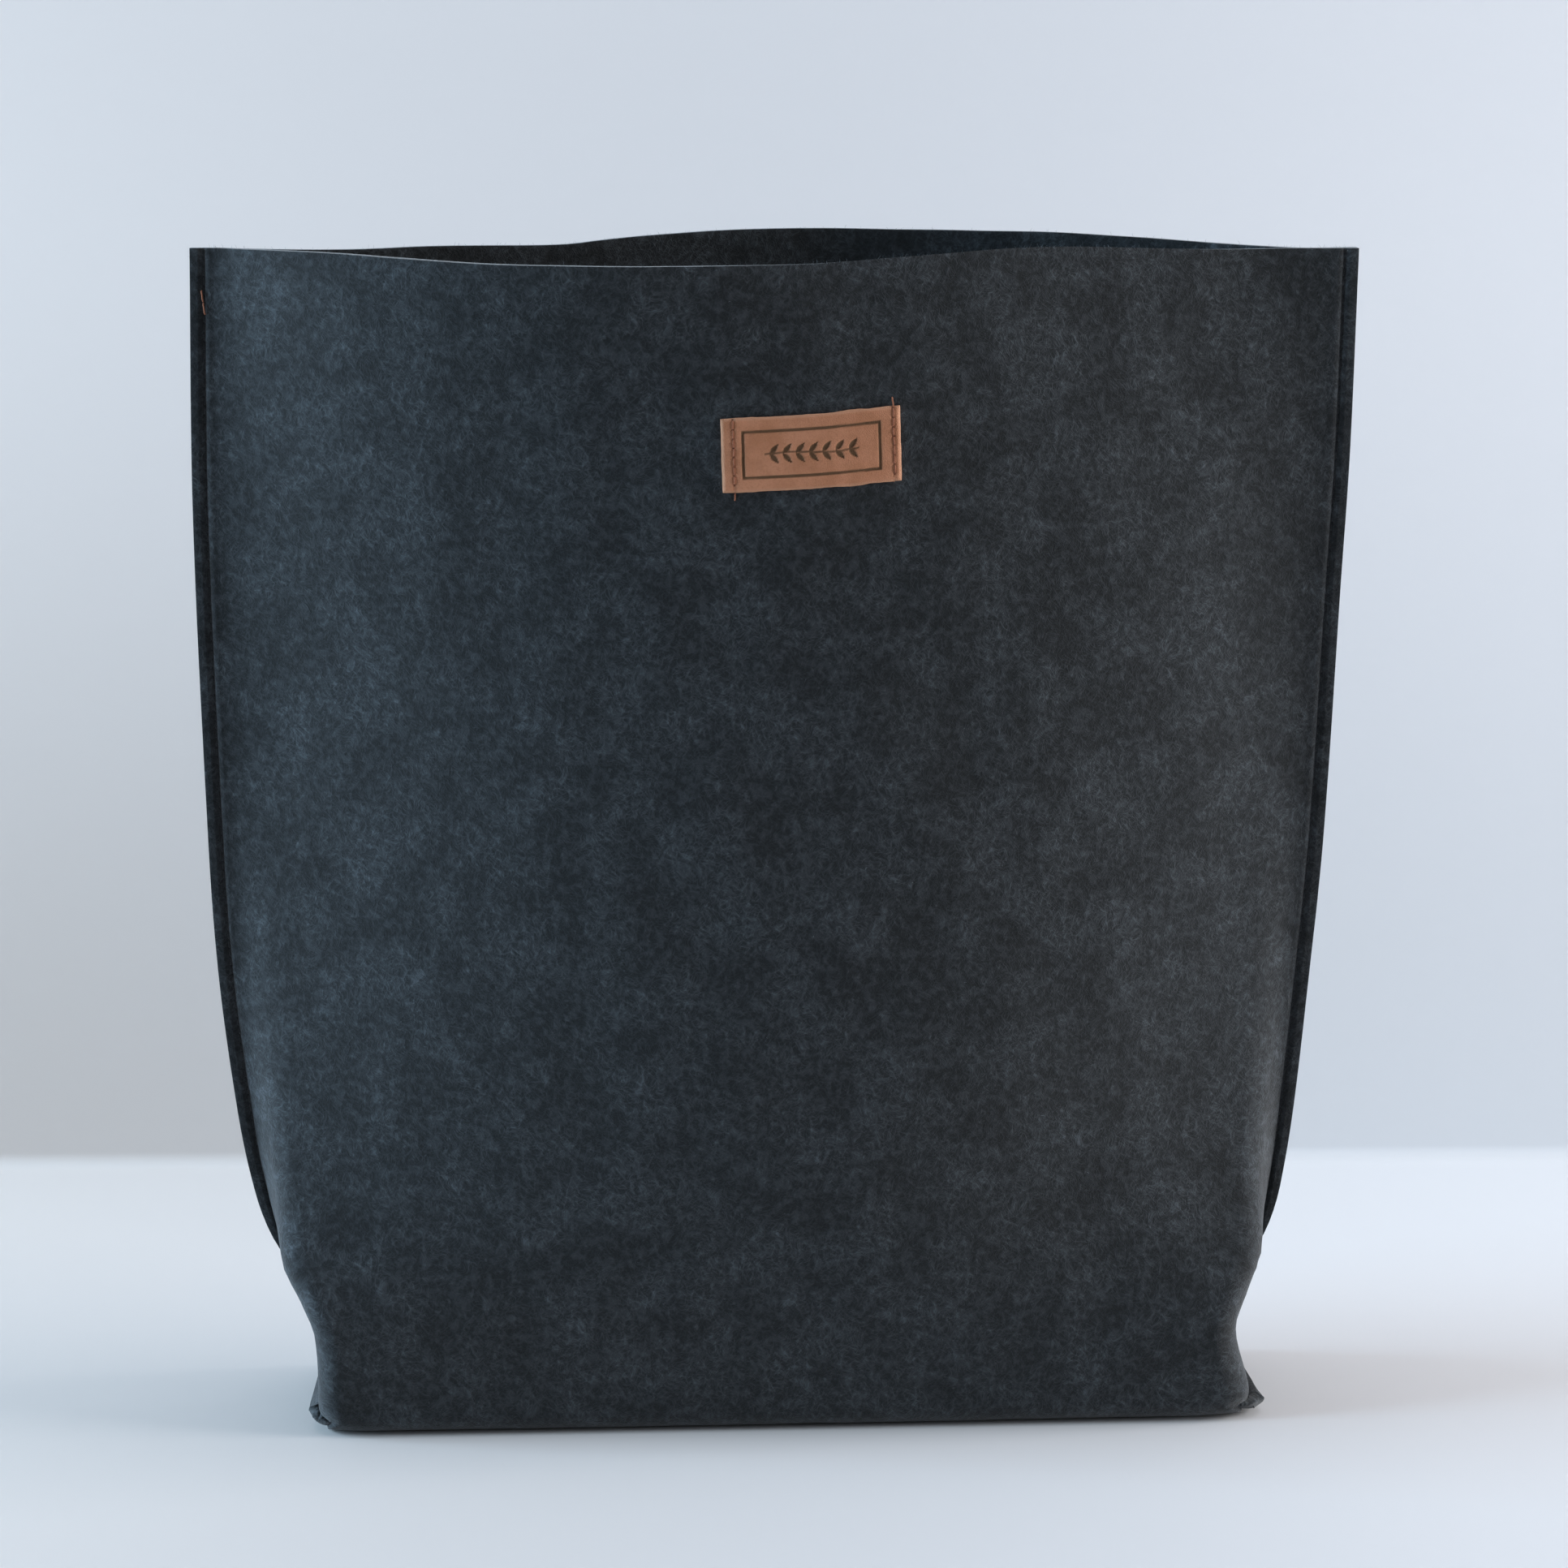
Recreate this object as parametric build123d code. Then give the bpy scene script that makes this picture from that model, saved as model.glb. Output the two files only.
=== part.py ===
from build123d import *
from math import cos, hypot, pi, radians, sin
import os

# A sewn felt grow bag, standing open. One strip of thick felt makes the front, the base
# and the back; its side edges are sewn together with the raw edges outside, and each
# bottom corner is squared off by a short seam, also with its raw edges outside.
# Millimetres, +X to the right, +Y to the back, +Z up, the base on Z = 0.

HEIGHT = 410.0          # standing height of the bag
FELT = 3.0              # felt thickness
HAIRLINE = 0.4          # least gap between the two layers inside the bag
SEAM_ALLOWANCE = 6.5    # raw edge left outside each side seam
CORNER_ALLOWANCE = 7.0  # raw edge left outside each corner seam
FOLD_RADIUS = 9.0       # soft vertical folds of the boxed lower part
FRONT_LEAN = -0.26      # where the front's rim is fullest, as a share of the half width
LEAN_FROM = 250.0       # the front only leans above this height
SEAM_BEND = 0.12        # how softly the panels curve away from the seams
BACK_LEAN = 0.19        # where the back is fullest

LABEL_WIDTH = 60.0
LABEL_HEIGHT = 25.0
LABEL_THICKNESS = 1.4
LABEL_TILT = 4.2        # degrees, the right end up
LABEL_CENTRE = (11.0, 347.0)
LEFT_ROW_INSET = 4.0    # stitch rows, in from the label's short edges
RIGHT_ROW_INSET = 2.4
ROW_OVERRUN = 3.2       # each row runs one stitch past the label

THREAD = 0.6            # thread as it lies in a seam
STITCH_LINE = 1.8       # side seam stitches, out from the seam's root

# Stations up the bag: height, half width at the side seams, half depth of the squared
# sides, how square the section is (1 box, 0 open sack), fullness of front and of back.
STATIONS = [
    (0.0, 156.0, 29.0, 1.0, 29.0, 29.0),
    (1.5, 158.6, 32.0, 1.0, 32.0, 32.0),
    (6.0, 160.0, 33.5, 1.0, 33.8, 33.8),
    (30.0, 160.0, 33.5, 1.0, 35.5, 35.5),
    (50.0, 165.0, 29.0, 0.95, 37.0, 37.0),
    (62.0, 171.5, 25.0, 0.88, 38.0, 38.0),
    (86.0, 176.7, 18.0, 0.62, 40.0, 40.5),
    (120.0, 181.5, 13.0, 0.38, 42.0, 43.0),
    (160.0, 184.7, 9.0, 0.18, 42.0, 44.0),
    (220.0, 187.5, 9.0, 0.04, 41.0, 45.0),
    (300.0, 189.0, 9.0, 0.0, 38.0, 45.0),
    (360.0, 189.7, 9.0, 0.0, 37.0, 45.5),
    (HEIGHT, 189.4, 9.0, 0.0, 38.0, 46.0),
]

# Places across one panel, from the middle (0) to the seam (1), closest at the corner fold.
ACROSS = [0.0, 0.2, 0.4, 0.55, 0.67, 0.75, 0.79, 0.815, 0.84, 0.865, 0.89, 0.93, 0.97, 1.0]


def corner_path(share, half_width, half_depth, radius):
    """Place on a quarter of a rounded rectangle, from the middle of its long side."""
    long_run, short_run, turn = half_width - radius, half_depth - radius, pi * radius / 2
    run = share * (long_run + turn + short_run)
    if run <= long_run:
        return run, half_depth
    if run <= long_run + turn:
        angle = (run - long_run) / radius
        return long_run + radius * sin(angle), short_run + radius * cos(angle)
    return half_width, short_run - (run - long_run - turn)


def fullness(across, lean):
    """Bulge of an open panel, 1 where it is fullest and 0 at the seams."""
    shifted = across - lean / (1 - lean * lean) * (1 - across * across)
    arch = 1 - shifted * shifted
    return (hypot(arch, SEAM_BEND) - SEAM_BEND) / (hypot(1, SEAM_BEND) - SEAM_BEND)


def middle(across, station, side):
    """Place on the middle of the felt; side is -1 for the front and 1 for the back."""
    height, half_width, half_depth, square, front, back = station
    front_lean = FRONT_LEAN * (max(height - LEAN_FROM, 0.0) / (HEIGHT - LEAN_FROM)) ** 1.6
    full, lean = (front, front_lean) if side < 0 else (back, BACK_LEAN)
    radius = min(FOLD_RADIUS, half_depth - 0.5)
    box_x, box_y = corner_path(abs(across), half_width, half_depth, radius)
    x = (1 - square) * half_width * abs(across) + square * box_x
    bulge = (full - square * half_depth) * fullness(across, lean * (1 - square))
    y = square * box_y + (1 - square) * FELT / 2 + bulge
    return (x if across >= 0 else -x), side * y


def face_points(station, side, shift):
    """One panel's face, shift millimetres out from the middle of the felt."""
    shares = [-s for s in reversed(ACROSS[1:])] + ACROSS
    points = []
    for share in shares:
        x0, y0 = middle(max(share - 0.004, -1.0), station, side)
        x1, y1 = middle(min(share + 0.004, 1.0), station, side)
        x, y = middle(share, station, side)
        length = hypot(x1 - x0, y1 - y0)
        points.append((x - side * shift * (y1 - y0) / length,
                       y + side * shift * (x1 - x0) / length))
    return points


def skin(height, station, shift):
    """Closed outline of the bag at one height, shift out from the middle of the felt."""
    meet = max(FELT / 2 + shift, HAIRLINE / 2)
    half = station[1] + (shift * station[3] if shift > 0 else shift)
    front = [(x, min(y, -meet)) for x, y in face_points(station, -1, shift)]
    back = [(x, max(y, meet)) for x, y in face_points(station, 1, shift)][::-1]
    front[0], front[-1] = (-half, -meet), (half, -meet)
    back[0], back[-1] = (half, meet), (-half, meet)
    edges = [Spline(*[Vector(x, y, height) for x, y in front]),
             Line(Vector(half, -meet, height), Vector(half, meet, height)),
             Spline(*[Vector(x, y, height) for x, y in back]),
             Line(Vector(-half, meet, height), Vector(-half, -meet, height))]
    return make_face(edges)


def shell(stations, shift):
    return loft([skin(s[0], s, shift) for s in stations], ruled=True)


def seam_strip(side, start, width, bottom, top, depth):
    """Upright strip that follows a side seam, start to start + width out from its root."""
    tall = [s for s in STATIONS if bottom < s[0] < top]
    line = [(s[1], s[0]) for s in STATIONS if s[0] >= 30.0]

    def root(z):
        for (x0, z0), (x1, z1) in zip(line, line[1:]):
            if z <= z1:
                return x0 + (x1 - x0) * max(z - z0, 0.0) / (z1 - z0)
        return line[-1][0]

    heights = [bottom] + [s[0] for s in tall] + [top]
    inner = [(side * (root(z) + start), z) for z in heights]
    outer = [(side * (root(z) + start + width), z) for z in reversed(heights)]
    flat = make_face(Polyline(*[Vector(x, 0, z) for x, z in inner + outer], close=True))
    return extrude(flat, amount=depth, dir=(0, -1, 0))


# ---------------------------------------------------------------- felt body
felt = shell(STATIONS, FELT / 2)
for side in (-1, 1):
    strip = seam_strip(side, -0.8, SEAM_ALLOWANCE + 0.8, 9.0, HEIGHT, 2 * FELT - 0.2)
    felt += Pos(0, FELT - 0.1, 0) * strip
    corner = Box(CORNER_ALLOWANCE + 4, 64.0, 2 * FELT)
    felt += Pos(side * (161.5 + (CORNER_ALLOWANCE - 4) / 2), 0, 1.2 + FELT) * corner
inside_stations = [(FELT, *STATIONS[2][1:])] + STATIONS[3:]
felt -= shell(inside_stations, -FELT / 2)

# ---------------------------------------------------------------- leather label
near = [s for s in STATIONS if s[0] >= 300.0]
label_place = Pos(LABEL_CENTRE[0], 0, LABEL_CENTRE[1]) * Rot(0, -LABEL_TILT, 0)
outer_face, inner_face = shell(near, FELT / 2), shell(near, -FELT / 2)
leather = shell(near, FELT / 2 + LABEL_THICKNESS)
label_block = label_place * Pos(0, -40, 0) * Box(LABEL_WIDTH, 70, LABEL_HEIGHT)
label = (label_block & leather) - outer_face

# ---------------------------------------------------------------- label stitching
on_label = shell(near, FELT / 2 + LABEL_THICKNESS + THREAD)
in_bag = shell(near, -FELT / 2 - THREAD)
rows = {}
for name, x, shift in (("left", -LABEL_WIDTH / 2 + LEFT_ROW_INSET, -ROW_OVERRUN / 2),
                       ("right", LABEL_WIDTH / 2 - RIGHT_ROW_INSET, ROW_OVERRUN / 2)):
    run = label_place * Pos(x, -40, shift) * Box(THREAD, 70, LABEL_HEIGHT + ROW_OVERRUN)
    rows[f"label_row_{name}_needle_thread"] = (run & on_label) - outer_face - label
    rows[f"label_row_{name}_bobbin_thread"] = (run & inner_face) - in_bag

# ---------------------------------------------------------------- seam threads
threads = {}
for name, side in (("left", -1), ("right", 1)):
    line = seam_strip(side, STITCH_LINE, THREAD, 11.0, HEIGHT - 3, THREAD)
    threads[f"side_seam_{name}_needle_thread"] = Pos(0, -FELT, 0) * line
    threads[f"side_seam_{name}_bobbin_thread"] = Pos(0, FELT + THREAD, 0) * line
    stitch_x = side * (161.5 + 3.0)
    bar = Box(THREAD, 63.0, THREAD)
    top, under = 1.2 + 2 * FELT + THREAD / 2, 1.2 - THREAD / 2
    threads[f"corner_seam_{name}_needle_thread"] = Pos(stitch_x, 0, top) * bar
    threads[f"corner_seam_{name}_bobbin_thread"] = Pos(stitch_x, 0, under) * bar

# A short tack on the left raw edge, just under the rim.
tack = Pos(-194.1, -FELT - THREAD / 2, 391.5) * Rot(0, 8, 0) * Box(THREAD, THREAD, 9.0)

PIECES = {
    "felt_body": felt,
    "leather_label": label,
    **rows,
    **threads,
    "rim_tack_thread": tack,
}

os.makedirs("parts", exist_ok=True)
for name, piece in PIECES.items():
    solid = piece.solids()[0]
    assert len(piece.solids()) == 1, (name, len(piece.solids()))
    export_step(solid, f"parts/{name}.step")
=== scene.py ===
import functools
import math
import random

import bmesh
import bpy
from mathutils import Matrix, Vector, noise


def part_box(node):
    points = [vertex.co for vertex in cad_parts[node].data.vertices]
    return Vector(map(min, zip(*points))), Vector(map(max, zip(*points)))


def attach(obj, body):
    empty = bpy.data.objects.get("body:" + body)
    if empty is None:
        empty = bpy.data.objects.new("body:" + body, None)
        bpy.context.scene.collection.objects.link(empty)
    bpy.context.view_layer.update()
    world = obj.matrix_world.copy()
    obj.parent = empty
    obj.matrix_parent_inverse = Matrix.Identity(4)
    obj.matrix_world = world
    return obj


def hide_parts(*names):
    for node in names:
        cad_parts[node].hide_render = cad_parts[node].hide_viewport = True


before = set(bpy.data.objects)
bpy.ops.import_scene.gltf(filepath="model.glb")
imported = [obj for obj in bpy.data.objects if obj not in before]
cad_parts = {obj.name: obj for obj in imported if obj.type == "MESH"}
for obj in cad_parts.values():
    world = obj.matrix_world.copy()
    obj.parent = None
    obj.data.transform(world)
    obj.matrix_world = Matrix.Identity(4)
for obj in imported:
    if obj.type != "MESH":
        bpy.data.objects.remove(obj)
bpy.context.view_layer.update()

MM = 0.001

# ---------------------------------------------------------------- felt body
# One strip of thick needle felt: the front, the base and the back of the bag. Its side
# edges are sewn together with the raw edges outside, and a short seam squares each bottom
# corner. It is built as a maker cuts it, flat, with two notches, and is then stood up.
FELT = 3.0 * MM
BAG_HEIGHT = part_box("felt_body")[1].z
FLAT_HALF = 200.0 * MM          # half the strip's width, raw edge to middle
SEAM_AT = 193.5 * MM            # side seam, from the middle of the strip
BASE_HALF = 160.0 * MM          # half length of the base
BASE_DEPTH_HALF = 33.5 * MM     # half depth of the base, along the felt
CORNER_ALLOWANCE = 7.0 * MM     # raw edge outside each corner seam
FOLD_FROM, FOLD_TO = 27.0 * MM, 37.2 * MM      # the front and back bottom folds, along the strip
FOLD_TOP = 8.0 * MM             # height where the fold has become upright
STRIP_HALF = BAG_HEIGHT - FOLD_TOP + FOLD_TO   # half the strip's length
INNER_FOLD = 5.0 * MM           # radius of the bottom folds, inside
INNER_DEPTH = 32.0 * MM         # half depth of the base, inside
BOX_CORNER = 6 * MM             # radius of the upright folds near the foot
STITCH_OUT = 1.9 * MM           # side stitch line, outside the inner edge of the seam
SEAM_FROM = FOLD_TO + 2.3 * MM  # where the side seam's raw edges begin, along the strip
FLAP_TILT = {-1: math.radians(48), 1: math.radians(20)}    # rise of the left and right corner seams' edges
CORNER_PLACE = 3.5 * MM         # middle of a corner fold, outside the base's corner

# Shape of the open bag, each as (height, value), with lengths in millimetres.
LEFT_SEAM = [(0, 158.5), (36, 159), (49, 165), (61, 172.3), (86, 179), (110, 183), (157, 188),
             (204, 190.2), (318, 191.6), (410, 189.5)]
RIGHT_SEAM = [(0, 158.5), (34, 159), (47, 164), (60, 170.3), (84, 174.6), (108, 177.4), (156, 181),
              (203, 184), (295, 187), (340, 188.6), (410, 189.3)]
SQUARENESS = [(0, 1), (38, 1), (50, 0.97), (62, 0.9), (86, 0.6), (120, 0.36), (160, 0.18), (250, 0),
              (410, 0)]
FOLD_PLACE = [(0, 0.827), (38, 0.829), (50, 0.845), (62, 0.868), (86, 0.89), (120, 0.91), (410, 0.95)]
FRONT_FULL = [(0, 32.3), (30, 34), (62, 36.5), (120, 40.5), (170, 41), (300, 37), (410, 37)]
BACK_FULL = [(0, 32.3), (30, 34), (62, 36.5), (120, 41), (170, 43), (300, 44), (410, 45)]
FRONT_LEAN = [(0, 0), (250, 0), (330, -0.08), (410, -0.26)]
BACK_LEAN = 0.19
SEAM_BEND = 0.12                # how softly the panels curve away from the seams
# How far the cut rim stands above or below its seams, along the strip's width.
FRONT_RIM = [(-195, 0.1), (-172, 0), (-144, -0.2), (-124, -1.1), (-96, -2.5), (-70, -3.0), (-42, -3.1),
             (-16, -3.1), (12, -2.7), (38, -1.3), (60, 0), (80, 0.9), (102, 1.1), (152, -0.4), (195, -0.4)]
BACK_RIM = [(-195, 0), (-144, -1.4), (-116, -1.0), (-74, -1.3), (-60, -0.2), (-46, 1.0), (-32, 1.8),
            (-18, 2.4), (0, 3.0), (26, 2.8), (68, 2.1), (96, 2.0), (124, 1.1), (150, -0.2), (176, -1.1),
            (195, -0.4)]
RIM_DEPTH = 0.2                 # how far below the rim its rise and fall still shows
RIGHT_FLARE = 7.5 * MM          # the right end spreads to its corner seam, most at the front
BASE_TURN = 0.03                # the base stands turned a little, its right end further back


def smooth(low, high, value):
    share = min(max((value - low) / (high - low), 0.0), 1.0)
    return share * share * (3 - 2 * share)


def at_height(stations, z):
    """Smooth value at height or place z, in metres, of a list of (place in mm, value)."""
    height = z / MM
    for i in range(len(stations) - 1):
        z0, v0 = stations[i]
        z1, v1 = stations[i + 1]
        if height <= z1 or i == len(stations) - 2:
            before = stations[max(i - 1, 0)]
            after = stations[min(i + 2, len(stations) - 1)]
            span = z1 - z0
            slope0 = (v1 - before[1]) / (z1 - before[0]) * span
            slope1 = (after[1] - v0) / (after[0] - z0) * span
            k = min(max((height - z0) / span, 0.0), 1.0)
            return ((2 * k**3 - 3 * k**2 + 1) * v0 + (k**3 - 2 * k**2 + k) * slope0
                    + (3 * k**2 - 2 * k**3) * v1 + (k**3 - k**2) * slope1)


@functools.lru_cache(maxsize=None)
def section(z, left, front):
    """The shape of the open bag at one height, for one quarter of it."""
    square = at_height(SQUARENESS, z)
    lean = at_height(FRONT_LEAN, z) if front else BACK_LEAN
    return (at_height(LEFT_SEAM if left else RIGHT_SEAM, z) * MM, square, at_height(FOLD_PLACE, z),
            at_height(FRONT_FULL if front else BACK_FULL, z) * MM, lean * (1 - square))


def rounded_corner(share, fold, radius):
    """Place on a quarter of a rounded box, as shares of its half width and half depth."""
    width, depth = fold * SEAM_AT, (1 - fold) * SEAM_AT
    radius = min(radius, depth * 0.9)
    turn = math.pi * radius / 2
    run = share * (width + depth - 2 * radius + turn)
    if run <= width - radius:
        return run / width, 1.0
    if run <= width - radius + turn:
        angle = (run - width + radius) / radius
        return (width - radius + radius * math.sin(angle)) / width, \
            (depth - radius + radius * math.cos(angle)) / depth
    return 1.0, max(depth - radius - (run - width + radius - turn), 0.0) / depth


def fullness(across, lean):
    """Bulge of an open panel, 1 where it is fullest and 0 at the seams."""
    shifted = across - lean / (1 - lean * lean) * (1 - across * across)
    arch = max(1 - shifted * shifted, 0.0)
    return (math.hypot(arch, SEAM_BEND) - SEAM_BEND) / (math.hypot(1, SEAM_BEND) - SEAM_BEND)


def upright(s, z, side):
    """Inner face of the standing felt at height z; s is the distance across the strip."""
    hand = -1 if s < 0 else 1
    half, square, fold, full, lean = section(z, s < 0, side < 0)
    share = min(abs(s) / SEAM_AT, 1.0)
    box_x, box_y = rounded_corner(share, fold, BOX_CORNER)
    depth = (1 - fold) * SEAM_AT * (INNER_DEPTH / BASE_DEPTH_HALF)
    spare = max(abs(s) - SEAM_AT, 0.0) * (0.2 + 0.8 * smooth(22 * MM, 80 * MM, z))
    x = half * ((1 - square) * share + square * box_x) + spare
    y = square * depth * box_y + (full - square * depth) * fullness(hand * share, lean)
    clear = smooth(10 * MM, 60 * MM, z) * smooth(SEAM_AT, SEAM_AT - 30 * MM, abs(s))
    drift = 1.5 * noise.noise((s / 0.085 + 7.3 * side, z / 0.13, 2.7 * side))
    drift += 0.45 * noise.noise((s / 0.026, z / 0.04 + 9.1 * side, 5.2))
    y = max(y + clear * drift * MM, 0.04 * MM)
    lift = at_height(FRONT_RIM if side < 0 else BACK_RIM, s)
    lift += 0.3 * noise.noise((s / 0.03, 0.4, 8.8 + side))
    lift *= smooth(BAG_HEIGHT - RIM_DEPTH, BAG_HEIGHT, z)
    return Vector((hand * x, side * y, z + lift * MM))


def corner_seam(run, hand, side):
    """Point of a corner seam, run metres along it from its end, and the way out from it."""
    point = upright(hand * (BASE_HALF + run), FOLD_TOP, side)
    point.z = FELT + 2.3 * MM * (1 - smooth(0, 7 * MM, run))
    turn = math.radians(50) * (1 - smooth(0, 5 * MM, run))
    return point, Vector((hand * math.cos(turn), side * math.sin(turn), 0))


def folded(s, t):
    """The sewn strip's inner face at (s across, t along), before the base is turned."""
    side, hand = (-1 if t < 0 else 1), (-1 if s < 0 else 1)
    along, past = abs(t), abs(s) - BASE_HALF
    inward = BASE_DEPTH_HALF - along
    if along >= FOLD_TO:
        return upright(s, FOLD_TOP + along - FOLD_TO, side)
    edge = upright(s, FOLD_TOP, side)
    if past <= 0:
        deep = abs(edge.y)
        turn = max(along - FOLD_FROM, 0.0) / (FOLD_TO - FOLD_FROM) * math.pi / 2
        y = min(along / FOLD_FROM, 1.0) * (deep - INNER_FOLD) + INNER_FOLD * math.sin(turn)
        point = Vector((edge.x, side * y, FELT + INNER_FOLD * (1 - math.cos(turn))))
        if inward > 0:
            point = point.lerp(corner_seam(inward, hand, side)[0], smooth(-12 * MM, 0, past))
        return point
    if inward <= 0:
        low = corner_seam(past, hand, side)[0].z
        edge.z = low + (FOLD_TOP - low) * inward / (BASE_DEPTH_HALF - FOLD_TO)
        return edge
    reach, run = min(past, inward), max(past, inward)
    point, out = corner_seam(run, hand, side)
    tilt = FLAP_TILT[hand] * smooth(0, 4 * MM, reach)
    apart = 0.12 * MM * min(abs(past - inward) / (2 * MM), 1.0) * (1 if past > inward else -1)
    return point + out * (reach * math.cos(tilt)) + Vector((0, 0, reach * math.sin(tilt) + apart))


def standing(s, t):
    """Where the point (s across, t along) of the flat strip's inner face goes."""
    point = folded(s, t)
    forward = 0.6 - 0.4 * max(min(point.y / BASE_DEPTH_HALF, 1.0), -1.0)
    point.x += RIGHT_FLARE * forward * smooth(36 * MM, 5 * MM, point.z) * smooth(0.135, 0.162, point.x)
    point.y += BASE_TURN * point.x * (1 - smooth(40 * MM, 260 * MM, point.z))
    return point


def felt_surface(s, t, out):
    """Point out metres off the felt's inner face, and the outward normal there."""
    step = 0.4 * MM
    here = standing(s, t)
    across = standing(s + step, t) - standing(s - step, t)
    along = standing(s, t + step) - standing(s, t - step)
    normal = across.cross(along).normalized() * -1
    return here + normal * out, normal


def as_object(name, shape):
    """The finished bmesh as an object of that name, in the scene."""
    mesh = bpy.data.meshes.new(name)
    shape.to_mesh(mesh)
    shape.free()
    made = bpy.data.objects.new(name, mesh)
    bpy.context.collection.objects.link(made)
    return made


# Cross lines of the flat strip, in millimetres from its middle, close together at the folds.
CUT_LINES = [152.0, 154.5, 156.5, 158.3, 159.2, 160.0, 160.8, 161.6, 162.5, 163.4, 164.3, 165.2, 166.1,
             167.0, 168.2, 169.6, 171.5, 192.0, 193.5, 194.5, 195.4, 196.3, 197.5]
FOLD_LINES = [22.0, 24.5, 25.5, 26.5, 27.4, 28.3, 29.2, 30.1, 31.0, 31.9, 32.7, 33.5, 34.3, 35.2, 36.2,
              37.2, 38.6, 40.4, 42.5, 45.0]
strip = bmesh.new()
bmesh.ops.create_grid(strip, x_segments=110, y_segments=200, size=1.0)
for v in strip.verts:
    across = v.co.x * (1.35 - 0.35 * v.co.x**2)
    v.co = Vector((across * FLAT_HALF, v.co.y * STRIP_HALF, 0.0))
for hand in (-1, 1):
    for place in [line * MM for line in CUT_LINES]:
        bmesh.ops.bisect_plane(strip, geom=[*strip.verts, *strip.edges, *strip.faces], dist=1e-6,
                               plane_co=(hand * place, 0, 0), plane_no=(1, 0, 0))
    for place in [line * MM for line in FOLD_LINES] + [STRIP_HALF - 1.2 * MM]:
        bmesh.ops.bisect_plane(strip, geom=[*strip.verts, *strip.edges, *strip.faces], dist=1e-6,
                               plane_co=(0, hand * place, 0), plane_no=(0, 1, 0))
notches = []
for face in strip.faces:
    middle = face.calc_center_median()
    s, t = abs(middle.x), abs(middle.y)
    corner = s > BASE_HALF + CORNER_ALLOWANCE and t < BASE_DEPTH_HALF - CORNER_ALLOWANCE
    clipped = s > SEAM_AT and t < SEAM_FROM
    if corner or clipped:
        notches.append(face)
bmesh.ops.delete(strip, geom=notches, context="FACES")

uv = strip.loops.layers.uv.new("cut")
for face in strip.faces:
    for loop in face.loops:
        loop[uv].uv = (loop.vert.co.x + FLAT_HALF, loop.vert.co.y + STRIP_HALF)
# The first vertex group thins the felt at the stitches, and the second rounds the corners.
loft = strip.verts.layers.deform.verify()
soft_corners = []
for v in strip.verts:
    s, t = v.co.x, v.co.y
    groove = 1 - smooth(0, 1.3 * MM, abs(abs(s) - SEAM_AT - STITCH_OUT))
    corner_groove = 0.0
    past, inward = abs(s) - BASE_HALF, BASE_DEPTH_HALF - abs(t)
    if past > -2 * MM and -4 * MM < inward:
        corner_groove = 1 - smooth(0, 4.5 * MM, abs(min(past, inward)))
    uneven = 0.05 * noise.noise((s / 0.012, t / 0.012, 3.0))
    v[loft][1] = smooth(15 * MM, 8 * MM, math.hypot(past - CORNER_PLACE, inward - CORNER_PLACE))
    v[loft][0] = 0.94 + uneven - 0.4 * groove - 0.42 * corner_groove
    if abs(past) < 9 * MM and -9 * MM < inward < 9 * MM:
        soft_corners.append(v)
    v.co = standing(s, t)
for _ in range(3):
    bmesh.ops.smooth_vert(strip, verts=soft_corners, factor=0.4, use_axis_x=True, use_axis_y=True,
                          use_axis_z=True)
for v in soft_corners:
    v.co.z = max(v.co.z, FELT)
for face in strip.faces:
    face.smooth = True
bmesh.ops.reverse_faces(strip, faces=strip.faces)
felt_body = as_object("felt_body_sewn", strip)
felt_body.vertex_groups.new(name="loft")
felt_body.vertex_groups.new(name="corner")
thick = felt_body.modifiers.new("felt thickness", "SOLIDIFY")
thick.thickness = FELT
thick.offset = 1.0
thick.vertex_group = "loft"
edges = felt_body.modifiers.new("soft cut edges", "BEVEL")
edges.width = 0.9 * MM
edges.segments = 2
edges.limit_method = "ANGLE"
edges.angle_limit = math.radians(50)
rounded = felt_body.modifiers.new("rounded corners", "SMOOTH")
rounded.factor = 0.5
rounded.iterations = 8
rounded.vertex_group = "corner"


class Value:
    """A number or a colour in a material, so that shader maths reads as an expression."""

    def __init__(self, nodes, socket):
        self.nodes, self.socket = nodes, socket

    def _math(self, operation, *values):
        return self.nodes.add("ShaderNodeMath", {"operation": operation}, *values)

    def __add__(self, other):
        return self._math("ADD", self, other)

    def __sub__(self, other):
        return self._math("SUBTRACT", self, other)

    def __rsub__(self, other):
        return self._math("SUBTRACT", other, self)

    def __mul__(self, other):
        return self._math("MULTIPLY", self, other)

    __radd__, __rmul__ = __add__, __mul__

    def __pow__(self, other):
        return self._math("POWER", self, other)


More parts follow.
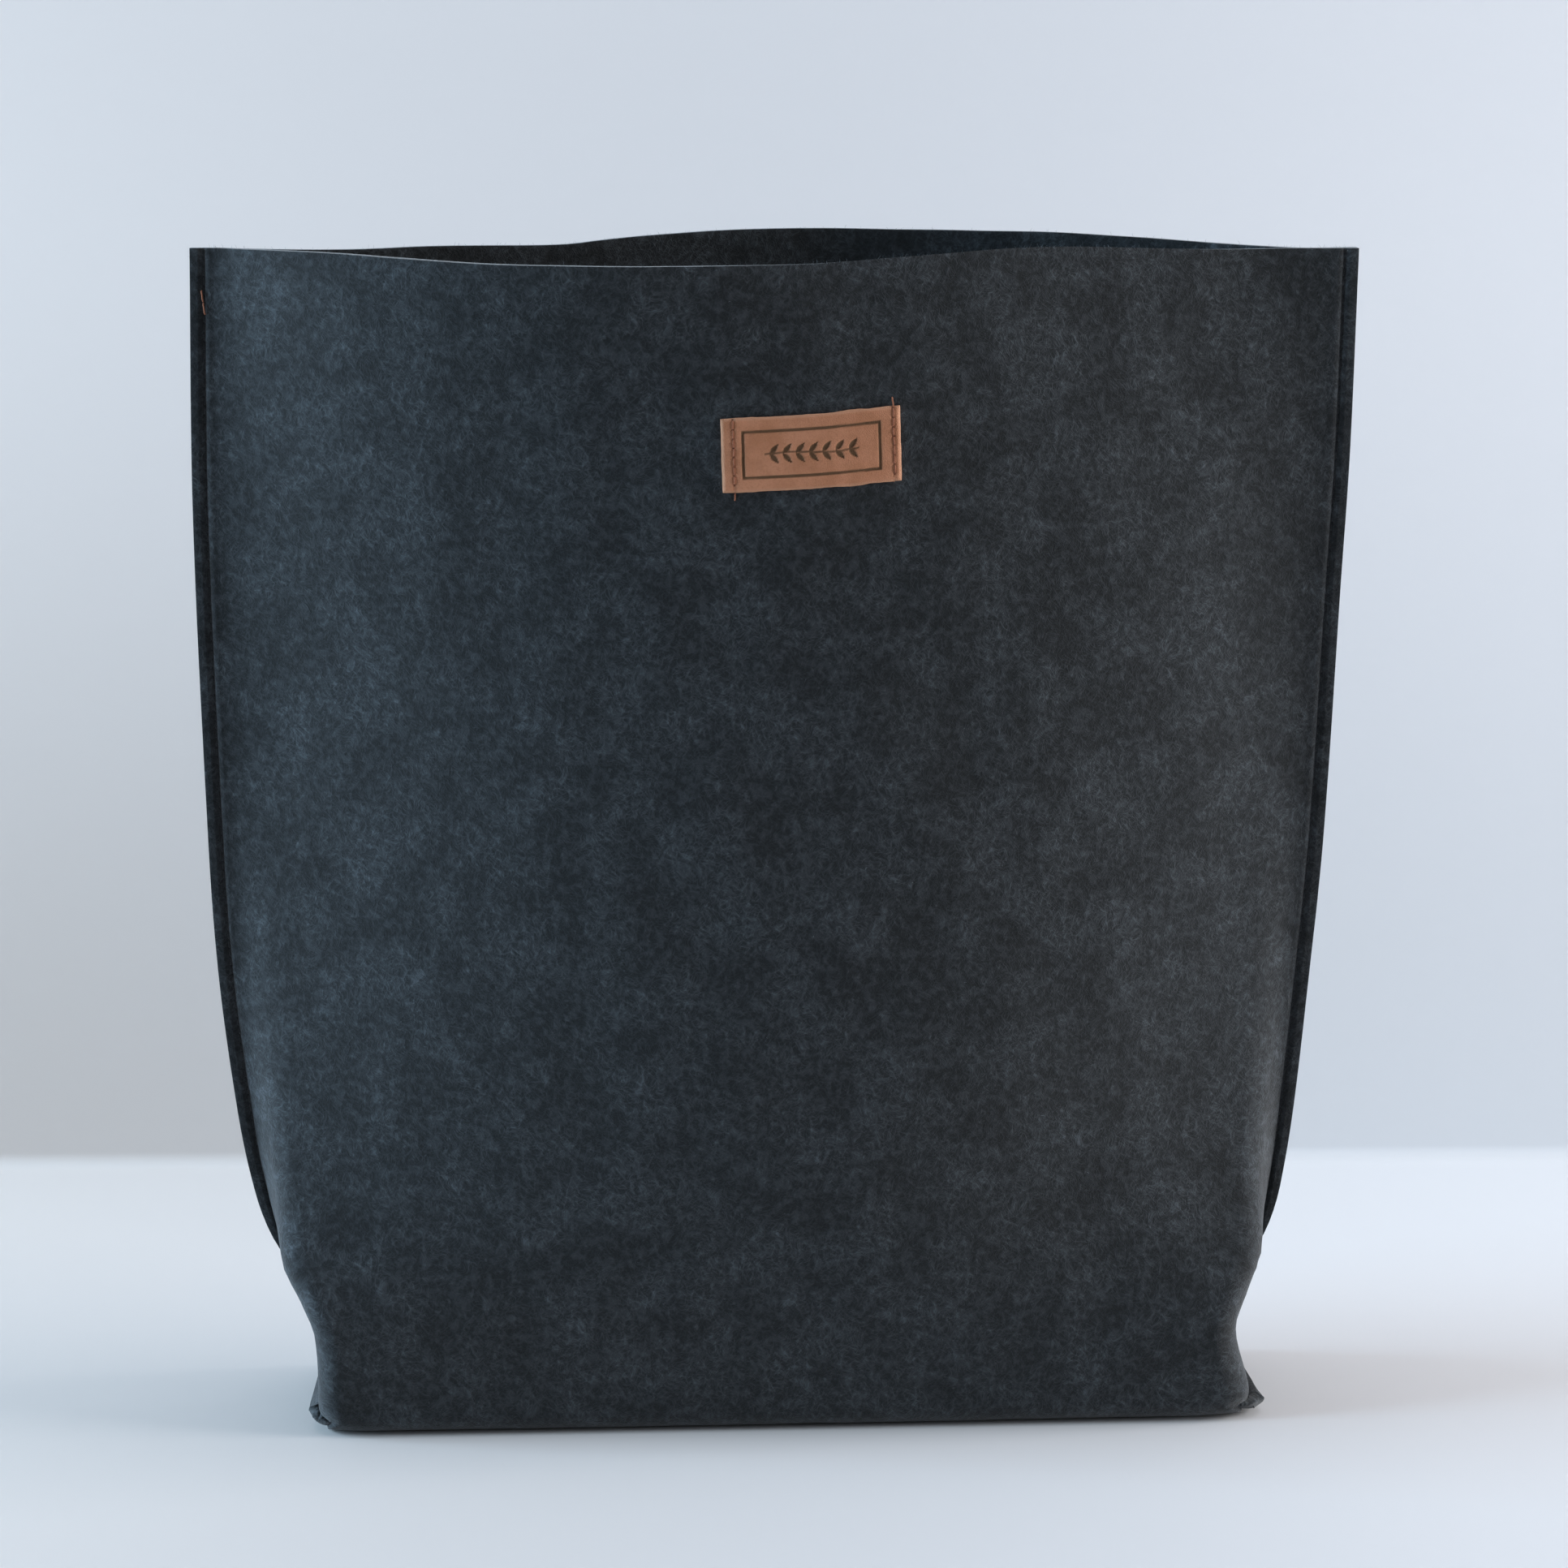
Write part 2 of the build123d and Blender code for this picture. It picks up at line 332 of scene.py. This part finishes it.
class Finish:
    """The node tree of one finish: add makes any node, and shade joins it to the surface."""

    def __init__(self, name, **surface):
        self.material = bpy.data.materials.new(name)
        self.material.use_nodes = True
        self.tree = self.material.node_tree
        self.shader = self.tree.nodes["Principled BSDF"]
        for socket, value in surface.items():
            self.shader.inputs[socket.replace("_", " ")].default_value = value

    def add(self, kind, settings=None, *values, out=0, **named):
        node = self.tree.nodes.new(kind)
        for key, value in (settings or {}).items():
            if key == "stops":
                ramp = node.color_ramp
                while len(ramp.elements) < len(value):
                    ramp.elements.new(0.5)
                for element, (place, colour) in zip(ramp.elements, value):
                    element.position = place
                    element.color = colour if len(colour) == 4 else (*colour, 1)
            else:
                setattr(node, key, value)
        by_name = {key.replace("_", " "): value for key, value in named.items()}
        for socket, value in [*enumerate(values), *by_name.items()]:
            if isinstance(value, Value):
                self.tree.links.new(value.socket, node.inputs[socket])
            elif value is not None:
                node.inputs[socket].default_value = value
        return Value(self, node.outputs[out])

    def mix(self, share, low, high, blend="MIX"):
        node = self.tree.nodes.new("ShaderNodeMix")
        node.data_type, node.blend_type = "RGBA", blend
        for place, value in ((0, share), (6, low), (7, high)):
            if isinstance(value, Value):
                self.tree.links.new(value.socket, node.inputs[place])
            else:
                node.inputs[place].default_value = (*value, 1) if isinstance(value, tuple) else value
        return Value(self, node.outputs[2])

    def between(self, low, high, value):
        return self.add("ShaderNodeMapRange", {"interpolation_type": "SMOOTHSTEP"}, value, low, high)

    def shade(self, **sockets):
        for socket, value in sockets.items():
            self.tree.links.new(value.socket, self.shader.inputs[socket.replace("_", " ")])
        return self.material


# Charcoal needle felt, marled with paler fibres that lie every way.
felt = Finish("marled charcoal felt", Sheen_Weight=0.25, Sheen_Roughness=0.55, Specular_IOR_Level=0.12)
cloth = felt.add("ShaderNodeUVMap", {"uv_map": "cut"})
place = felt.add("ShaderNodeTexCoord", out=3)
bend = felt.add("ShaderNodeTexNoise", None, place, None, 110.0, 2.0, out=1)
bent = felt.add("ShaderNodeVectorMath", {"operation": "MULTIPLY_ADD"}, bend, (0.007, 0.007, 0.007), cloth)
# Fibre bundles, each as (lie in radians, thickness, length) in millimetres.
LAYS = [(-0.5, 1.3, 5.0), (0.4, 0.36, 3.2), (-1.25, 1.1, 4.4), (1.15, 0.42, 3.6), (0.3, 1.5, 6.0),
        (-0.75, 0.34, 3.4)]
wisps = fine = None
for turn, thin, long in LAYS:
    laid = felt.add("ShaderNodeMapping", {"vector_type": "TEXTURE"}, bent, (turn, 0, 0), (0, 0, turn),
                    (thin * MM, long * MM, 1))
    strand = felt.between(0.5, 0.74, felt.add("ShaderNodeTexNoise", None, laid, None, 1.0, 1.5))
    if thin > 1:
        wisps = strand if wisps is None else wisps + strand
    else:
        fine = strand if fine is None else fine + strand
cloud = felt.add("ShaderNodeTexNoise", None, place, None, 60.0, 3.0)
tuft = felt.add("ShaderNodeTexNoise", None, place, None, 300.0, 2.5)
speck = felt.between(0.71, 0.78, felt.add("ShaderNodeTexNoise", None, place, None, 380.0, 1.0))
cover = felt.between(0.34, 0.68, cloud)
pale = (wisps * 0.65 + fine * 0.7) * (0.32 + 0.68 * cover)
pale = pale + felt.between(0.45, 0.68, tuft) * 0.5 + speck * 0.6
base = felt.mix(felt.between(0.3, 0.7, cloud), (0.0082, 0.0096, 0.0108), (0.0132, 0.0153, 0.017))
colour = felt.mix(pale * 0.42, base, (0.082, 0.095, 0.107))
pile = felt.add("ShaderNodeTexNoise", None, place, None, 1300.0, 2.0)
bump = felt.add("ShaderNodeBump", None, Strength=0.3, Distance=0.001,
                Height=fine * 0.25 + wisps * 0.12 + pile * 0.5 + tuft * 0.7)
felt_body.data.materials.append(felt.shade(
    Base_Color=colour, Roughness=0.86 + 0.1 * tuft, Normal=bump))

# Stray fibres stand out of the cut edges and the faces: fine, bent, tapering hairs.
HAIR_RADIUS = 0.045 * MM
draw = random.Random(41)
hairs = []


def any_way(size):
    return Vector((draw.uniform(-1, 1), draw.uniform(-1, 1), draw.uniform(-1, 1))) * size


def strands(name, runs, radius, roundness):
    """A mesh of round strands; each run is a list of (point, share of the radius)."""
    line = bpy.data.curves.new(name, "CURVE")
    line.dimensions = "3D"
    line.bevel_depth, line.bevel_resolution = radius, roundness
    line.use_fill_caps = True
    for run in runs:
        spline = line.splines.new("POLY")
        spline.points.add(len(run) - 1)
        for knot, (point, share) in zip(spline.points, run):
            knot.co, knot.radius = (*point, 1), share
    curve = bpy.data.objects.new(name, line)
    bpy.context.collection.objects.link(curve)
    mesh = bpy.data.meshes.new_from_object(curve.evaluated_get(bpy.context.evaluated_depsgraph_get()))
    bpy.data.objects.remove(curve)
    mesh.shade_smooth()
    made = bpy.data.objects.new(name, mesh)
    bpy.context.collection.objects.link(made)
    return made


def stray_hair(s, t, depth, outward, length):
    """Adds one hair, rooted depth metres off the felt's inner face and leaning outward."""
    root, normal = felt_surface(s, t, depth)
    lean = (outward + 0.7 * normal + any_way(0.75)).normalized()
    point = root - lean * 0.4 * MM
    run = [(point, 1.0)]
    for share in (0.85, 0.6, 0.3):
        lean = (lean + any_way(0.45)).normalized()
        point = point + lean * (length / 3)
        run.append((point, share))
    hairs.append(run)


for _ in range(700):
    t = draw.choice((-1, -1, 1)) * (STRIP_HALF - 0.5 * MM)
    stray_hair(draw.uniform(-0.197, 0.197), t, draw.uniform(0.2, 2.8) * MM, Vector((0, 0, 1)),
               draw.uniform(0.8, 2.6) * MM)
for _ in range(420):
    hand, t = draw.choice((-1, 1)), draw.choice((-1, 1)) * draw.uniform(FOLD_TO + 4 * MM, STRIP_HALF)
    stray_hair(hand * (FLAT_HALF - 0.5 * MM), t, draw.uniform(0.2, 2.8) * MM, Vector((hand, 0, 0)),
               draw.uniform(0.6, 1.8) * MM)
for _ in range(900):
    t = draw.choice((-1, -1, 1)) * draw.uniform(FOLD_TO, STRIP_HALF)
    stray_hair(draw.uniform(-0.19, 0.19), t, 2.8 * MM, Vector(), draw.uniform(0.5, 1.6) * MM)
stray_fibres = strands("felt_stray_fibres", hairs, HAIR_RADIUS, 0)
fibre = Finish("stray felt fibre", Sheen_Weight=0.3, Specular_IOR_Level=0.2)
tone = fibre.add("ShaderNodeTexNoise", None, fibre.add("ShaderNodeTexCoord", out=3), None, 300.0, 1.0)
stray_fibres.data.materials.append(fibre.shade(
    Base_Color=fibre.mix(fibre.between(0.35, 0.65, tone), (0.05, 0.06, 0.07), (0.16, 0.19, 0.22)),
    Roughness=0.8 + 0.1 * tone))
for piece in (felt_body, stray_fibres):
    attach(piece, "root")
    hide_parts("felt_body")

# ---------------------------------------------------------------- leather label
# A small tan leather label, cut a little unevenly, with a stamped border and a stamped
# sprig. It is sewn on a little tilted, follows the front's curve, and dips at each stitch.
LABEL_WIDTH, LABEL_HEIGHT, LABEL_THICK = 60.0 * MM, 25.0 * MM, 1.4 * MM
LABEL_TILT = math.radians(2.0)
LABEL_S, LABEL_Z = 11.2 * MM, 348.4 * MM        # its middle, across the strip and in height
LABEL_SEAT = FELT * 0.96                        # the leather's back, off the felt's inner face
BORDER_HALF = Vector((22.9 * MM, 7.7 * MM))     # the stamped border
STAMP_DEEP, PULL_DEEP, EDGE_WORN = 0.26, 0.4, 0.4      # millimetres
STEM_HALF = 16 * MM
LEAVES, LEAF_STEP, FIRST_LEAF = 7, 4.4, -14            # pairs of leaves, millimetres apart
LEAF_ANGLE, LEAF_LONG, LEAF_WIDE = math.radians(48), 4.4 * MM, 1.05 * MM
STITCH = 3.1 * MM
FIRST_HOLE = LABEL_HEIGHT / 2 - 0.6 * MM
ROWS = {"left": -LABEL_WIDTH / 2 + 4.0 * MM, "right": LABEL_WIDTH / 2 - 2.4 * MM}


def on_front(p, q, out):
    """Point and normal on the front, p right and q up from the label's middle."""
    s = LABEL_S + p * math.cos(LABEL_TILT) - q * math.sin(LABEL_TILT)
    z = LABEL_Z + p * math.sin(LABEL_TILT) + q * math.cos(LABEL_TILT)
    return felt_surface(s, -(FOLD_TO + z - FOLD_TOP), out)


def drawn_down(p, q):
    """How far the stitches pull the leather in, from 0 to 1."""
    off_row = min(abs(p - row) for row in ROWS.values())
    to_hole = abs((FIRST_HOLE - q + STITCH / 2) % STITCH - STITCH / 2)
    channel = 0.35 * (1 - smooth(0.2 * MM, 1.1 * MM, off_row))
    return max(channel, 1 - smooth(0.15 * MM, 0.7 * MM, math.hypot(off_row, to_hole)))


def leaf(p, q, foot, angle):
    """1 inside a pointed leaf that grows from the stem at foot, 0 outside it."""
    c, n = math.cos(angle), math.sin(angle)
    x, y = (p - foot) * c + q * n, -(p - foot) * n + q * c
    share = x / LEAF_LONG
    if not 0 <= share <= 1:
        return 0.0
    return 1 - smooth(0.7, 1.0, abs(y) / (LEAF_WIDE * math.sin(math.pi * share**0.8) + 1e-9))


def stamped(p, q):
    """How deep the stamp went at a point of the label, from 0 to 1."""
    edge = max(abs(p) - BORDER_HALF.x, abs(q) - BORDER_HALF.y)
    deep = 1 - smooth(0.35 * MM, 0.6 * MM, abs(edge))
    stem = 1 - smooth(0.22 * MM, 0.42 * MM, abs(q + 0.4 * MM * math.sin(p / (5 * MM))))
    if abs(p) > STEM_HALF:
        stem = 0.0
    deep = max(deep, 0.9 * stem)
    for i in range(LEAVES):
        foot = (FIRST_LEAF + LEAF_STEP * i) * MM
        for up in (-1, 1):
            deep = max(deep, leaf(p, q, foot, up * LEAF_ANGLE))
    return deep


leather = bmesh.new()
bmesh.ops.create_grid(leather, x_segments=176, y_segments=74, size=1.0)
stamp = leather.verts.layers.float.new("stamp")
rim = leather.verts.layers.float.new("edge")
pulled = leather.verts.layers.float.new("pulled")
plan = leather.verts.layers.float_vector.new("plan")
for v in leather.verts:
    p, q = v.co.x * LABEL_WIDTH / 2, v.co.y * LABEL_HEIGHT / 2
    cut = 0.35 * noise.noise((p / 0.009, q / 0.3, 4.0)) + 0.15 * noise.noise((p / 0.003, q / 0.3, 1.0))
    q += cut * MM * v.co.y
    p += 0.25 * noise.noise((q / 0.006, p / 0.3, 2.0)) * MM * v.co.x
    v[plan] = Vector((p, q, 0))
    v[stamp] = stamped(p, q)
    inset = min(LABEL_WIDTH / 2 - abs(p), LABEL_HEIGHT / 2 - abs(q))
    v[rim] = 1 - smooth(0.1 * MM, 1.3 * MM, inset)
back = bmesh.ops.duplicate(leather, geom=[*leather.verts, *leather.edges, *leather.faces])["geom"]
back_verts = {v for v in back if isinstance(v, bmesh.types.BMVert)}
back_faces = [f for f in back if isinstance(f, bmesh.types.BMFace)]
bmesh.ops.reverse_faces(leather, faces=back_faces)
open_edges = [e for e in leather.edges if e.is_boundary]
bmesh.ops.bridge_loops(leather, edges=open_edges)
under = {}
for v in leather.verts:
    p, q, _ = v[plan]
    if (p, q) not in under:
        under[p, q] = on_front(p, q, LABEL_SEAT)
    v.co, normal = under[p, q]
    if v not in back_verts:
        worn = EDGE_WORN * v[rim] ** 2 + 0.05 * noise.noise((p / 0.002, q / 0.002, 6.0))
        v[pulled] = drawn_down(p, q)
        v.co += normal * (LABEL_THICK - (STAMP_DEEP * v[stamp] + PULL_DEEP * v[pulled] + worn) * MM)
for face in leather.faces:
    face.smooth = True
bmesh.ops.recalc_face_normals(leather, faces=leather.faces)
leather_label = as_object("leather_label_stamped", leather)

# Vegetable-tanned hide: mottled, finely pored, darker in the stamp, with painted shade in the stitch dips
# and a painted highlight along the edges.
hide = Finish("tan leather", Specular_IOR_Level=0.35, Coat_Roughness=0.5)
place = hide.add("ShaderNodeTexCoord", out=3)
mark = hide.add("ShaderNodeAttribute", {"attribute_name": "stamp"}, out=2)
edge_highlight = hide.add("ShaderNodeAttribute", {"attribute_name": "edge"}, out=2)
stitch_dip_shade = hide.add("ShaderNodeAttribute", {"attribute_name": "pulled"}, out=2)
mottle = hide.add("ShaderNodeTexNoise", None, place, None, 130.0, 4.0)
pores = hide.add("ShaderNodeTexVoronoi", {"feature": "DISTANCE_TO_EDGE"}, place, None, 1500.0)
grain = hide.add("ShaderNodeTexNoise", None, place, None, 1400.0, 3.0)
tan = hide.mix(hide.between(0.3, 0.7, mottle), (0.50, 0.205, 0.098), (0.62, 0.27, 0.145))
tan = hide.mix(hide.between(0.45, 0.75, grain) * 0.35, tan, (0.42, 0.165, 0.078))
# Painted highlight: the colour is lighter along the label's edges.
tan = hide.mix(edge_highlight * 0.5, tan, (0.6, 0.33, 0.2))
# Painted shade: the colour is much darker in the stitch dips and along the stitch rows.
tan = hide.mix(stitch_dip_shade * 0.6, tan, (0.16, 0.06, 0.03))
tan = hide.mix(mark * 0.9, tan, (0.1, 0.055, 0.022))
dent = hide.add("ShaderNodeBump", None, Strength=0.5, Distance=0.0003,
                Height=hide.between(0.0, 0.25, pores) * 0.5 + grain * 0.5)
leather_label.data.materials.append(hide.shade(
    Base_Color=tan, Roughness=0.52 + 0.2 * mottle + 0.1 * mark, Normal=dent))
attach(leather_label, "root")
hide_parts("leather_label")

# ---------------------------------------------------------------- label stitching
# Rust-coloured thread in a machine lockstitch: one row near each short edge of the label,
# run one stitch past it. The needle thread is on the face, the bobbin thread inside.
THREAD_RADIUS = 0.26 * MM


def lockstitch(name, holes, radius, rise, dive, finish):
    """Thread along holes, each (point, normal): it dives at each hole and lies between."""
    run = []
    for (a, na), (b, nb) in zip(holes, holes[1:]):
        run.append((a - na * dive, 1.0))
        for share, up in ((0.1, 0.35), (0.3, 0.95), (0.5, 1.0), (0.7, 0.95), (0.9, 0.35)):
            run.append((a.lerp(b, share) + na.lerp(nb, share) * (rise * up) + any_way(radius * 0.2), 1.0))
    run.append((holes[-1][0] - holes[-1][1] * dive, 1.0))
    thread = strands(name, [run], radius, 1)
    thread.data.materials.append(finish)
    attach(thread, "root")
    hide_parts(name.removesuffix("_sewn"))
    return thread


def spun(name, dark, light):
    """Finish of a twisted thread, its plies in two shades."""
    thread = Finish(name, Sheen_Weight=0.2, Specular_IOR_Level=0.3)
    place = thread.add("ShaderNodeTexCoord", out=3)
    ply = thread.add("ShaderNodeTexWave", {"bands_direction": "DIAGONAL"}, place, 900.0, 1.5)
    tone = thread.add("ShaderNodeTexNoise", None, place, None, 700.0, 2.0)
    twist = thread.add("ShaderNodeBump", None, Strength=0.4, Distance=0.0001, Height=ply)
    return thread.shade(Base_Color=thread.mix(ply * 0.5 + tone * 0.5, dark, light),
                        Roughness=0.6 + 0.2 * tone, Normal=twist)


rust = spun("rust thread", (0.16, 0.045, 0.018), (0.42, 0.15, 0.07))
for name, p in ROWS.items():
    on_label, in_bag = [], []
    holes = [FIRST_HOLE - STITCH * i for i in range(9)]
    holes = holes + [holes[-1] - 2.6 * MM] if name == "left" else [FIRST_HOLE + 3.6 * MM] + holes
    for q in holes:
        wobble = draw.uniform(-0.15, 0.15) * MM
        beyond = abs(q) > LABEL_HEIGHT / 2
        out = FELT * 0.9 if beyond else LABEL_SEAT + LABEL_THICK - 0.15 * MM
        on_label.append(on_front(p + wobble, q, out))
        point, normal = on_front(p + wobble, q, 0.0)
        in_bag.append((point, -normal))
    lockstitch(f"label_row_{name}_needle_thread_sewn", on_label, THREAD_RADIUS, 0.2 * MM, 0.75 * MM,
               rust)
    lockstitch(f"label_row_{name}_bobbin_thread_sewn", in_bag, THREAD_RADIUS, 0.2 * MM, 0.5 * MM,
               rust)

# ---------------------------------------------------------------- seam stitching
# Dark thread pulled down into the felt: the two side seams, just outside the bag's inner
# edge, and the short seams that square the bottom corners.
dark_thread = spun("dark thread", (0.008, 0.009, 0.011), (0.04, 0.045, 0.05))
SEAM_THREAD = 0.24 * MM
CORNER_STITCHES, FIRST_CORNER_HOLE = 20, -29.5         # millimetres from the middle of the base's end
NEAREST = 3.2 * MM              # the corner seams stop this far from the base's corners
for name, hand in (("left", -1), ("right", 1)):
    for layer, side in (("needle", -1), ("bobbin", 1)):
        holes = []
        t = FOLD_TO + 5 * MM
        while t < STRIP_HALF - 3 * MM:
            holes.append(felt_surface(hand * (SEAM_AT + STITCH_OUT), side * t, FELT * 0.56))
            t += STITCH
        lockstitch(f"side_seam_{name}_{layer}_thread_sewn", holes, SEAM_THREAD, 0.15 * MM, 0.8 * MM,
                   dark_thread)
        holes = []
        for i in range(CORNER_STITCHES):
            y = (FIRST_CORNER_HOLE + 3.1 * i) * MM
            along = INNER_DEPTH - abs(y)
            run = along * BASE_DEPTH_HALF / INNER_DEPTH
            face = -1 if y < 0 else 1
            if layer == "needle":
                flat = (BASE_HALF + max(run, NEAREST), face * (BASE_DEPTH_HALF - 3 * MM))
            else:
                flat = (BASE_HALF + 3 * MM, face * (BASE_DEPTH_HALF - max(run, NEAREST)))
            holes.append(felt_surface(hand * flat[0], flat[1], FELT * 0.72))
        lockstitch(f"corner_seam_{name}_{layer}_thread_sewn", holes, SEAM_THREAD, 0.15 * MM, 0.5 * MM,
                   dark_thread)

# A short tack in rust thread holds the left raw edges together, just under the rim. Its
# holes are given as (height, distance out), in millimetres.
TACK_HOLES = [(396.0, 4.3), (391.9, 3.7), (387.8, 3.1)]
tack = []
for z, out in TACK_HOLES:
    tack.append(felt_surface(-(SEAM_AT + out * MM - 1.6 * MM), -(FOLD_TO + z * MM - FOLD_TOP), FELT * 0.93))
lockstitch("rim_tack_thread_sewn", tack, 0.27 * MM, 0.12 * MM, 1.1 * MM, rust)

# ---------------------------------------------------------------- floor, light and camera
# A pale card sweep, floor and wall in one, lit from a window at each side. Its colour is painted
# darker and warmer to the left as painted shade, and the wall glows with painted light. The wall is clear
# from behind, so that the back of the bag can be seen, and a plain floor goes on behind it.
WALL_AT = 0.256
FLOOR_HALF, WALL_HEIGHT, CREASE = 3.0, 4.0, 0.006
sweep = bmesh.new()
bmesh.ops.create_grid(sweep, x_segments=1, y_segments=1, size=FLOOR_HALF)
bmesh.ops.translate(sweep, verts=sweep.verts, vec=(0, WALL_AT - FLOOR_HALF, 0))
far_edge = [e for e in sweep.edges if all(v.co.y > WALL_AT - CREASE for v in e.verts)]
raised = bmesh.ops.extrude_edge_only(sweep, edges=far_edge)["geom"]
wall_top = [part for part in raised if isinstance(part, bmesh.types.BMVert)]
bmesh.ops.translate(sweep, verts=wall_top, vec=(0, 0, WALL_HEIGHT))
crease = [e for e in sweep.edges if all(v.co.y > WALL_AT - CREASE and v.co.z < CREASE for v in e.verts)]
bmesh.ops.bevel(sweep, geom=crease, offset=CREASE, offset_type="OFFSET", segments=6, profile=0.5,
                affect="EDGES", material=-1)
for face in sweep.faces:
    face.smooth = True
bmesh.ops.recalc_face_normals(sweep, faces=sweep.faces)
bmesh.ops.reverse_faces(sweep, faces=sweep.faces)
ground = as_object("pale_sweep", sweep)
ground.visible_shadow = False
pale_card = Finish("pale card", Roughness=0.85, Specular_IOR_Level=0.15, Emission_Strength=0.3)
card_place = pale_card.add("ShaderNodeTexCoord", out=3)
height = pale_card.add("ShaderNodeSeparateXYZ", None, card_place, out=2)
to_right = pale_card.between(-0.45, 0.35, pale_card.add("ShaderNodeSeparateXYZ", None, card_place))
# Painted light: only the wall glows. The glow is dim and warm at its lower left, bluer to the right, and
# brightest higher up.
low_glow = pale_card.mix(to_right, (0.08, 0.03, 0.0), (0.36, 0.42, 0.50))
glow = pale_card.mix(pale_card.between(0.0, 0.42, height), low_glow, (0.80, 0.85, 0.96))
# Painted shade: the card's colour is darker and warmer to the left.
ground.data.materials.append(pale_card.shade(
    Base_Color=pale_card.mix(to_right, (0.58, 0.535, 0.505), (0.62, 0.615, 0.62)),
    Emission_Color=pale_card.mix(pale_card.between(0.0, 0.005, height), (0, 0, 0), glow)))
card = Value(pale_card, pale_card.shader.outputs["BSDF"])
from_behind = pale_card.add("ShaderNodeNewGeometry", out=6)
clear = pale_card.add("ShaderNodeBsdfTransparent")
one_sided = pale_card.add("ShaderNodeMixShader", None, from_behind, card, clear)
pale_card.tree.links.new(one_sided.socket, pale_card.tree.nodes["Material Output"].inputs["Surface"])

REAR_FROM, REAR_DROP = 0.24, 0.001
rear = bmesh.new()
bmesh.ops.create_grid(rear, x_segments=1, y_segments=1, size=FLOOR_HALF)
bmesh.ops.translate(rear, verts=rear.verts, vec=(0, REAR_FROM + FLOOR_HALF, -REAR_DROP))
rear_floor = as_object("rear_floor", rear)
plain_floor = Finish("plain floor", Base_Color=(0.62, 0.615, 0.62, 1), Roughness=0.85)
rear_floor.data.materials.append(plain_floor.material)

# Each light as (name, place, size, power in watts, colour).
LIGHTS = [
    ("left window", (-1.9, -0.12, 0.7), (0.9, 1.2), 68.0, (0.55, 0.79, 1.0)),
    ("right window", (1.9, -0.1, 0.7), (0.9, 1.2), 46.0, (0.97, 0.98, 1.0)),
    ("ceiling", (0.0, 0.0, 2.3), (2.4, 0.5), 15.0, (0.94, 0.92, 1.0)),
]
for name, where, size, power, tint in LIGHTS:
    lamp = bpy.data.lights.new(name, "AREA")
    lamp.shape = "RECTANGLE"
    lamp.size, lamp.size_y = size
    lamp.energy, lamp.color = power, tint
    holder = bpy.data.objects.new(name, lamp)
    bpy.context.collection.objects.link(holder)
    holder.visible_camera = False
    holder.location = where
    holder.rotation_euler = (Vector((0, 0, 0.2)) - Vector(where)).to_track_quat("-Z", "Y").to_euler()

world = bpy.data.worlds.new("studio")
world.use_nodes = True
world.node_tree.nodes["Background"].inputs[0].default_value = (0.85, 0.9, 1.0, 1)
world.node_tree.nodes["Background"].inputs[1].default_value = 0.07
bpy.context.scene.world = world
bpy.context.scene.view_settings.view_transform = "Standard"

eye = bpy.data.cameras.new("camera")
eye.sensor_width, eye.lens = 36.0, 83.85
camera = bpy.data.objects.new("camera", eye)
bpy.context.collection.objects.link(camera)
camera.location = (-0.018, -1.235, 0.508)
camera.rotation_euler = (math.radians(90 - 12.9), 0, math.radians(-0.96))
bpy.context.scene.camera = camera
